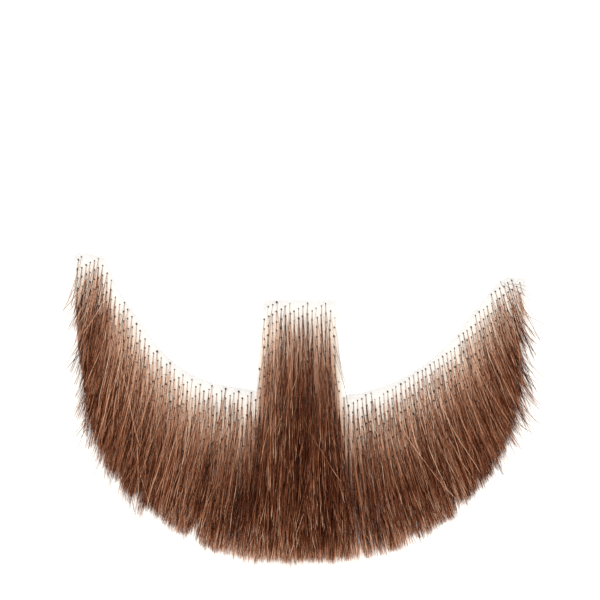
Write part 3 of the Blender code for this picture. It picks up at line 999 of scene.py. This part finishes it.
def lace_sheet(outline):
    """The lace as a thin closed sheet cut to its outline, with a slight ripple."""
    bm = bmesh.new()
    rim = [bm.verts.new((x, y, LACE_HEIGHT - LACE_THICKNESS / 2)) for x, y in outline]
    bm.faces.new(rim)
    for axis in (0, 1):
        normal = Vector((1 - axis, axis, 0))
        low, high = outline[:, axis].min(), outline[:, axis].max()
        for cut in np.arange(low + LACE_CELL, high, LACE_CELL):
            everything = bm.verts[:] + bm.edges[:] + bm.faces[:]
            place = normal * float(cut)
            bmesh.ops.bisect_plane(bm, geom=everything, plane_co=place, plane_no=normal)
    bmesh.ops.triangulate(bm, faces=bm.faces)
    bmesh.ops.recalc_face_normals(bm, faces=bm.faces)
    if sum(face.normal.z for face in bm.faces) > 0:
        bmesh.ops.reverse_faces(bm, faces=bm.faces)
    top = bmesh.ops.extrude_face_region(bm, geom=bm.faces[:], use_keep_orig=True)
    raised = [v for v in top["geom"] if isinstance(v, bmesh.types.BMVert)]
    bmesh.ops.translate(bm, verts=raised, vec=(0, 0, LACE_THICKNESS))
    bmesh.ops.recalc_face_normals(bm, faces=bm.faces)
    for v in bm.verts:
        v.co.z += float(ripple(v.co.x, v.co.y))
    lace = finished("lace_net", bm)
    places = np.array([v.co[:2] for v in lace.data.vertices])
    write_attribute(lace, "depth", below_edge(places, outline) / SHADE_TINT_DEPTH)
    return lace


def ripple(x, y):
    """The lace's slight waves."""
    across = np.sin(x * RIPPLE_X.rate + RIPPLE_X.start)
    return LACE_RIPPLE * across * np.cos(y * RIPPLE_Y.rate + RIPPLE_Y.start)


def finished(name, bm):
    """The object of a mesh that was built step by step."""
    mesh = bpy.data.meshes.new(name)
    bm.to_mesh(mesh)
    bm.free()
    obj = bpy.data.objects.new(name, mesh)
    bpy.context.scene.collection.objects.link(obj)
    return obj


def knot_beads(knots):
    """One small dark knot on the lace for each bundle of hairs."""
    bm = bmesh.new()
    bmesh.ops.create_icosphere(bm, subdivisions=1, radius=1 / 2)
    ball = np.array([v.co for v in bm.verts]) * KNOT_SHAPE
    faces = np.array([[v.index for v in face.verts] for face in bm.faces])
    bm.free()
    size = KNOT_SIZE * np.exp(random_numbers.normal(0, KNOT_SIZES_VARY, len(knots)))
    height = LACE_HEIGHT + ripple(knots[:, 0], knots[:, 1]) + KNOT_RISE * size
    centre = np.column_stack([knots, height])
    vertices = centre[:, None] + ball[None] * size[:, None, None]
    triangles = faces[None] + (np.arange(len(knots)) * len(ball))[:, None, None]
    return array_mesh("knots", vertices.reshape(-1, 3), triangles.reshape(-1, 3))


def cut_threads(outline):
    """The short ends of the net's threads along the cut edge."""
    following = np.roll(outline, -1, axis=0)
    lengths = np.linalg.norm(following - outline, axis=1)
    starts = np.concatenate([[0.0], np.cumsum(lengths)])
    stations = np.arange(0, starts[-1], CUT_THREAD_SPACING)
    segment = np.clip(np.searchsorted(starts, stations, side="right") - 1, 0, len(outline) - 1)
    length = np.maximum(lengths[segment], TINY)
    share = ((stations - starts[segment]) / length)[:, None]
    foot = blend(outline[segment], following[segment], share)
    along = (following[segment] - outline[segment]) / length[:, None]
    count = len(stations)
    reach = CUT_THREAD_LENGTH * random_numbers.uniform(*CUT_THREAD_LENGTHS_VARY, count)[:, None]
    drift = along * random_numbers.normal(0, CUT_THREAD_DRIFT, count)[:, None]
    steps = np.linspace(-CUT_THREAD_INSIDE, 1, CUT_THREAD_POINTS)
    bend = np.clip(steps, 0, 1) ** 2
    plane = foot[:, None] + (outward_from(along, outline) * reach)[:, None] * steps[None, :, None]
    plane = plane + (drift * reach)[:, None] * bend[None, :, None]
    lift = CUT_THREAD_LIFT * random_numbers.random(count)
    height = LACE_HEIGHT + ripple(foot[:, 0], foot[:, 1])
    height = height[:, None] + lift[:, None] * bend[None]
    points = np.concatenate([plane, height[..., None]], axis=2)
    radius = np.full((count, len(steps)), THREAD_RADIUS)
    return tubes("cut_threads", points, radius, np.full(radius.shape, CUT_THREAD_TONE))


# Finishes


def hair_finish():
    """Chestnut hair: each hair has its own tone, darker at its knot and warmer at its tip, with
    painted glints along it and painted light where it lies thin.
    """
    finish = Finish("combed_chestnut_hair_with_painted_glints", IOR=HAIR_IOR, Specular_IOR_Level=HAIR_GLOSS, Metallic=0.0)
    tone = finish.node("ShaderNodeAttribute", {"attribute_name": "tone"}, output="Fac")
    roughness = HAIR_ROUGHNESS + tone * HAIR_ROUGHNESS_MORE
    finish.shade(Base_Color=finish.ramp(HAIR_COLOURS, tone), Roughness=roughness)
    return finish.material


def grain_of(finish, grain):
    """Roughens a finish with a fine noise and returns the noise."""
    place = finish.node("ShaderNodeTexCoord", output="Object")
    inputs = {"Vector": place, "Scale": grain.scale, "Detail": grain.detail}
    noise = finish.node("ShaderNodeTexNoise", {}, inputs)
    finish.shade(Roughness=grain.roughness + noise * grain.more)
    return noise


def knot_finish():
    """Nearly black knots."""
    finish = Finish("dark_knot", Metallic=0.0)
    finish.shade(Base_Color=finish.ramp(KNOT_COLOURS, grain_of(finish, KNOT_GRAIN)))
    return finish.material


def lace_finish():
    """Sheer ivory net: fine six-sided meshes, clear between their threads, and painted with a warm
    shade that darkens and fills it in deeper under the hair.
    """
    finish = Finish("sheer_ivory_net_with_painted_shade", Metallic=0.0, Roughness=LACE_ROUGHNESS)
    place = finish.node("ShaderNodeTexCoord", output="Object")
    x = finish.node("ShaderNodeSeparateXYZ", {}, {"Vector": place}, output="X")
    y = finish.node("ShaderNodeSeparateXYZ", {}, {"Vector": place}, output="Y")
    pitch = 4 * math.pi / (math.sqrt(3) * MESH_PITCH)
    lean = math.sqrt(3) / 2
    waves = (y * pitch).cosine() + (x * (lean * pitch) + y * (0.5 * pitch)).cosine()
    waves = waves + (x * (lean * pitch) - y * (0.5 * pitch)).cosine()
    thread = ((THREAD_LEVEL - waves) * THREAD_SHARPNESS).clamped()
    depth = finish.node("ShaderNodeAttribute", {"attribute_name": "depth"}, output="Fac").clamped()
    # Deeper under the hair the net is filled in and darkened with painted shade
    cover = (thread * THREAD_COVER + HOLE_COVER + depth * SHADE_COVER).clamped()
    finish.shade(Base_Color=finish.ramp(LACE_AND_SHADE_COLOURS, depth), Alpha=cover)
    return finish.material


def thread_finish():
    """Ivory thread."""
    finish = Finish("ivory_thread", Metallic=0.0)
    finish.shade(Base_Color=finish.ramp(THREAD_COLOURS, grain_of(finish, THREAD_GRAIN)))
    return finish.material


def floor_finish():
    """Matt white paper."""
    finish = Finish("white_floor", Metallic=0.0, Base_Color=FLOOR_COLOUR)
    grain_of(finish, FLOOR_GRAIN)
    return finish.material


# Surroundings


def make_floor():
    """The wide white surface that the beard lies on."""
    bm = bmesh.new()
    bmesh.ops.create_grid(bm, x_segments=1, y_segments=1, size=FLOOR_HALF_WIDTH)
    floor = finished("floor", bm)
    floor.data.materials.append(floor_finish())


def soft_light(light):
    """A square studio light that faces the beard."""
    lamp = bpy.data.lights.new(light.name, "AREA")
    lamp.shape = "SQUARE"
    lamp.size = light.size
    lamp.energy = light.power
    lamp.color = LIGHT_COLOUR
    obj = bpy.data.objects.new(light.name, lamp)
    obj.location = light.place
    facing = Vector(LIGHT_TARGET) - Vector(light.place)
    obj.rotation_euler = facing.to_track_quat("-Z", "Y").to_euler()
    bpy.context.scene.collection.objects.link(obj)


def light_the_studio():
    """Even light from all round and the soft lights, with colours shown as they are."""
    world = bpy.data.worlds.new("studio")
    world.use_nodes = True
    background = world.node_tree.nodes["Background"]
    background.inputs["Color"].default_value = WORLD_COLOUR
    background.inputs["Strength"].default_value = WORLD_STRENGTH
    bpy.context.scene.world = world
    for light in LIGHTS:
        soft_light(light)
    bpy.context.scene.view_settings.view_transform = "Standard"


def place_camera():
    """Straight above, so that the photograph's pixels fall where they were measured."""
    camera = bpy.data.cameras.new("camera")
    camera.lens = LENS
    camera.sensor_width = SENSOR
    camera.clip_start = NEAREST
    obj = bpy.data.objects.new("camera", camera)
    middle = FRAME_PIXELS / 2
    across = (middle - ORIGIN_PIXEL[0]) * PIXEL
    up = (ORIGIN_PIXEL[1] - middle) * PIXEL
    obj.location = (across, up, LENS / SENSOR * FRAME_PIXELS * PIXEL)
    bpy.context.scene.collection.objects.link(obj)
    bpy.context.scene.camera = obj


def dress(piece, finish):
    """Gives a piece its finish and its place in the model."""
    piece.data.materials.append(finish)
    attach(piece, "root")


def build():
    """The whole scene. The order of its steps is the order of the random numbers."""
    lace_edge = lace_outline()
    trimmed = trim_outline()
    knots = knot_places(lace_edge)

    hair = hair_finish()
    for piece in hair_pieces(knots, lace_edge, trimmed) + [flyaway_hairs()]:
        dress(piece, hair)

    beads = knot_beads(knots)
    dress(beads, knot_finish())

    lace = lace_sheet(lace_edge)
    dress(lace, lace_finish())
    threads = cut_threads(lace_edge)
    dress(threads, thread_finish())
    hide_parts("lace_base")
    area = abs(signed_area(lace_edge))
    size = lace_edge.max(axis=0) - lace_edge.min(axis=0)

    make_floor()
    light_the_studio()
    place_camera()


build()
